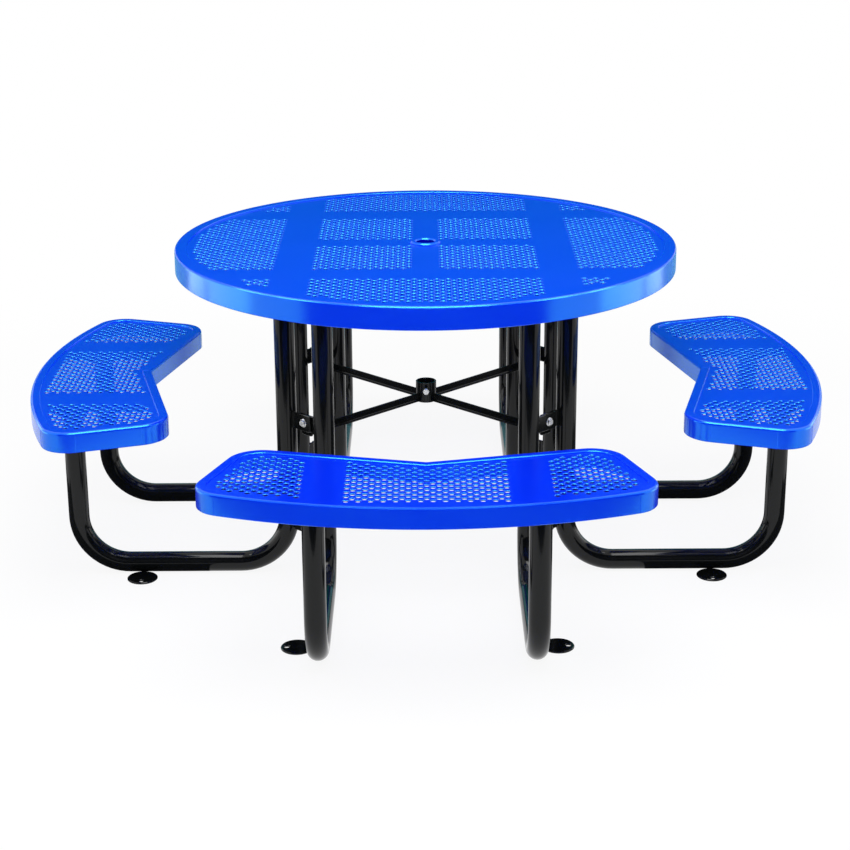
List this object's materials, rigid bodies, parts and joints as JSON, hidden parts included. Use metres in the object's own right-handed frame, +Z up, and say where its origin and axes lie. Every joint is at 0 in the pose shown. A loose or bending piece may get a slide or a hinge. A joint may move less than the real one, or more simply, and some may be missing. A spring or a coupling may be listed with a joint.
{
  "type": "round picnic table",
  "caption": "Round perforated steel picnic table with attached boomerang seats on a bent tube frame and an umbrella hole with holder.",
  "frame": {"origin": "on the floor under the middle of the tabletop", "axes": "+Z up, X and Y through the middles of the four seats"},
  "size_m": [1.8538, 1.8538, 0.736],
  "materials": {
    "blue_coating": "gloss thermoplastic coating on steel",
    "black_coating": "gloss powder coat on steel",
    "zinc": "bright zinc plate"
  },
  "bodies": {
    "root": {"tabletop_rim": "blue_coating", "tabletop_sheet": "blue_coating", "umbrella_collar": "blue_coating", "top_rail_right": "blue_coating", "top_rail_back": "blue_coating", "top_rail_left": "blue_coating", "top_rail_front": "blue_coating", "seat_rim_right": "blue_coating", "seat_rim_back": "blue_coating", "seat_rim_left": "blue_coating", "seat_rim_front": "blue_coating", "seat_sheet_right": "blue_coating", "seat_sheet_back": "blue_coating", "seat_sheet_left": "blue_coating", "seat_sheet_front": "blue_coating", "seat_rails_right": "blue_coating", "seat_rails_back": "blue_coating", "seat_rails_left": "blue_coating", "seat_rails_front": "blue_coating", "leg_right_front": "black_coating", "leg_right_back": "black_coating", "leg_back_right": "black_coating", "leg_back_left": "black_coating", "leg_left_back": "black_coating", "leg_left_front": "black_coating", "leg_front_left": "black_coating", "leg_front_right": "black_coating", "top_mount_plates": "black_coating", "seat_mount_plates": "black_coating", "foot_discs": "black_coating", "corner_ears_outer": "black_coating", "corner_ears_inner": "black_coating", "umbrella_holder": "black_coating", "holder_floor": "black_coating", "clamp_nut": "black_coating", "brace_arm_back_right": "black_coating", "brace_arm_back_left": "black_coating", "brace_arm_front_left": "black_coating", "brace_arm_front_right": "black_coating", "top_bolts": "zinc", "top_nuts": "zinc", "seat_bolts": "zinc", "seat_nuts": "zinc", "corner_washers": "zinc", "corner_nuts": "zinc", "corner_bolts": "zinc"},
    "clamp": {"clamp_screw": "zinc"}
  },
  "joints": [
    {"name": "clamp_slide", "type": "slide", "parent": "root", "child": "clamp", "axis": [0, 1, 0], "range_m": [0, 0.01]}
  ]
}
